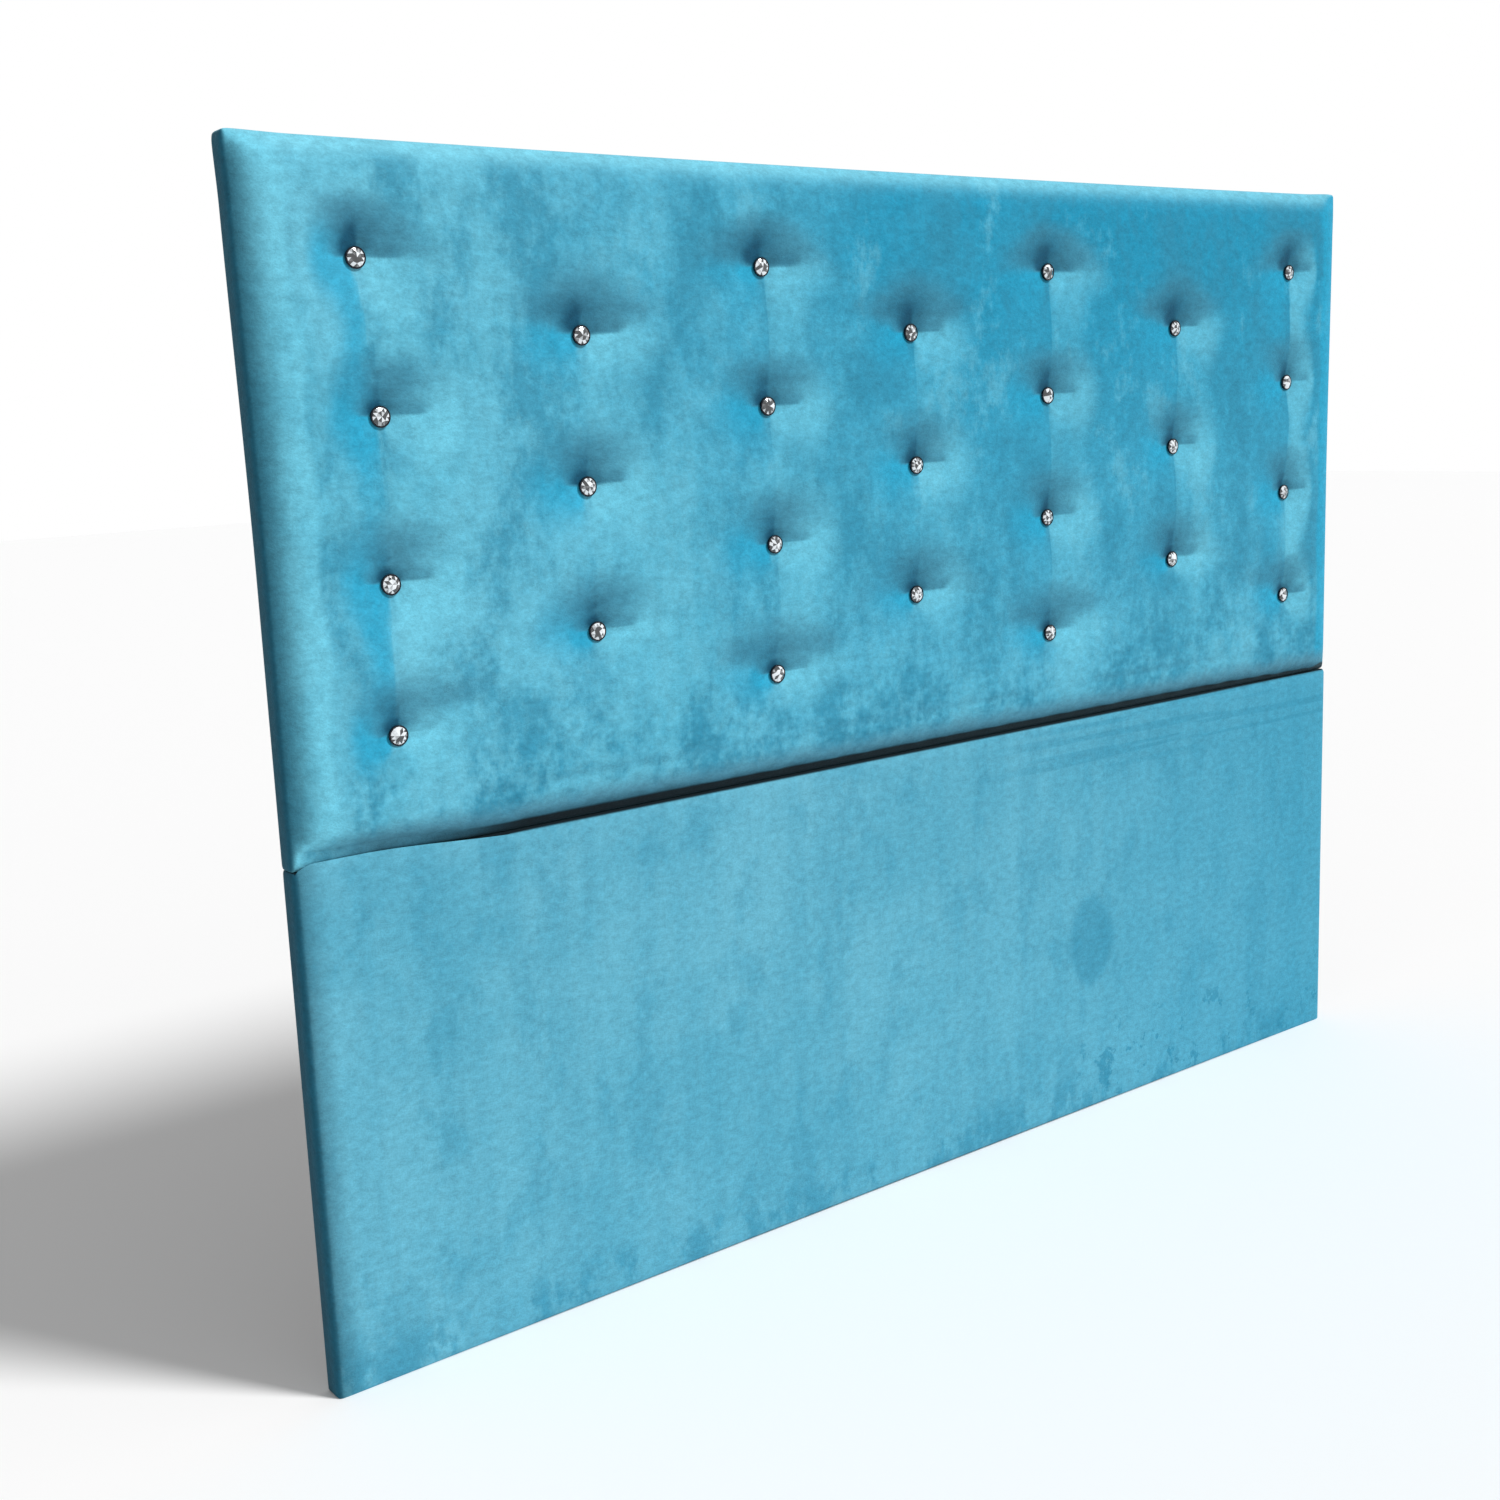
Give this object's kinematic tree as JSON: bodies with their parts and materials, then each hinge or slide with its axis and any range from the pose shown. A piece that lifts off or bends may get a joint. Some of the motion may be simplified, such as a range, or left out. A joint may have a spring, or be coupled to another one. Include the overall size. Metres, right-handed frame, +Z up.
{
  "type": "headboard",
  "caption": "Upholstered velvet headboard: a padded panel tufted with crystal buttons stacked on a thinner plain padded panel, both on hidden timber frames.",
  "frame": {"origin": "on the floor, under the middle of the whole width and depth", "axes": "+X along the width, to the right of a person facing the padded front; +Z up; the padded front faces -Y and the flat back faces +Y"},
  "size_m": [1.6, 0.037, 1.185],
  "materials": {
    "velvet": "short-pile velvet with brushed nap",
    "dust_cloth": "matt non-woven cloth",
    "pine": "sawn and planed",
    "hardboard": "smooth pressed board",
    "foam": "open-cell foam",
    "fixing_steel": "zinc plated",
    "crystal": "cut and polished",
    "chrome": "bright plated",
    "twine": "waxed cord",
    "washer_board": "moulded disc"
  },
  "bodies": {
    "root": {"button_cups_column_1": "chrome", "button_cups_column_2": "chrome", "button_cups_column_3": "chrome", "button_cups_column_4": "chrome", "button_cups_column_5": "chrome", "button_cups_column_6": "chrome", "button_cups_column_7": "chrome", "button_loops": "fixing_steel", "crystals_column_1": "crystal", "crystals_column_2": "crystal", "crystals_column_3": "crystal", "crystals_column_4": "crystal", "crystals_column_5": "crystal", "crystals_column_6": "crystal", "crystals_column_7": "crystal", "joining_screws": "fixing_steel", "lower_backing_board": "hardboard", "lower_board_pins": "fixing_steel", "lower_bottom_rail": "pine", "lower_cover": "velvet", "lower_cover_staples": "fixing_steel", "lower_dust_cloth": "dust_cloth", "lower_dust_cloth_staples": "fixing_steel", "lower_foam": "foam", "lower_frame_screws": "fixing_steel", "lower_left_stile": "pine", "lower_right_stile": "pine", "lower_stud_1": "pine", "lower_stud_2": "pine", "lower_stud_3": "pine", "lower_top_rail": "pine", "tufting_twine": "twine", "twine_washers": "washer_board", "upper_backing_board": "hardboard", "upper_board_pins": "fixing_steel", "upper_bottom_rail": "pine", "upper_cover": "velvet", "upper_cover_staples": "fixing_steel", "upper_dust_cloth": "dust_cloth", "upper_dust_cloth_staples": "fixing_steel", "upper_foam": "foam", "upper_frame_screws": "fixing_steel", "upper_left_stile": "pine", "upper_right_stile": "pine", "upper_stud_1": "pine", "upper_stud_2": "pine", "upper_stud_3": "pine", "upper_stud_4": "pine", "upper_top_rail": "pine"}
  },
  "joints": []
}
